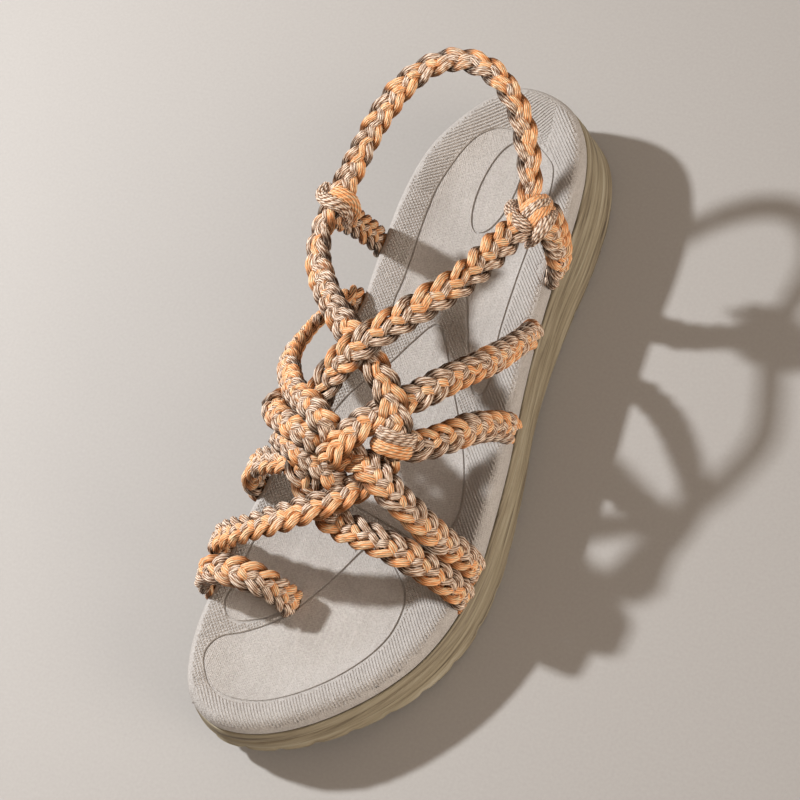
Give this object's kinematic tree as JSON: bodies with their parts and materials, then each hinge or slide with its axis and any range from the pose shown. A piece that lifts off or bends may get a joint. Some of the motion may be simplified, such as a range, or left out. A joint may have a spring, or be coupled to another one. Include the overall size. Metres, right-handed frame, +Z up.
{
  "type": "sport sandal",
  "caption": "Left sport sandal with a braided strap upper, slingback and toe loop on a rimmed footbed and a moulded sole unit.",
  "frame": {"origin": "on the floor, at the middle of the shoe's box", "axes": "+Z up, the toe points along -Y, the outer side of the foot is at +X"},
  "size_m": [0.093, 0.2588, 0.0962],
  "materials": {
    "sole": "matte moulded foam with fine streaks",
    "footbed": "matte moulded foam with a fine knurled border",
    "braid": "braided orange and brown marl yarn"
  },
  "bodies": {
    "root": {"sole": "sole", "footbed": "footbed", "upper_straps": "braid", "toe_loop": "braid"}
  },
  "joints": []
}
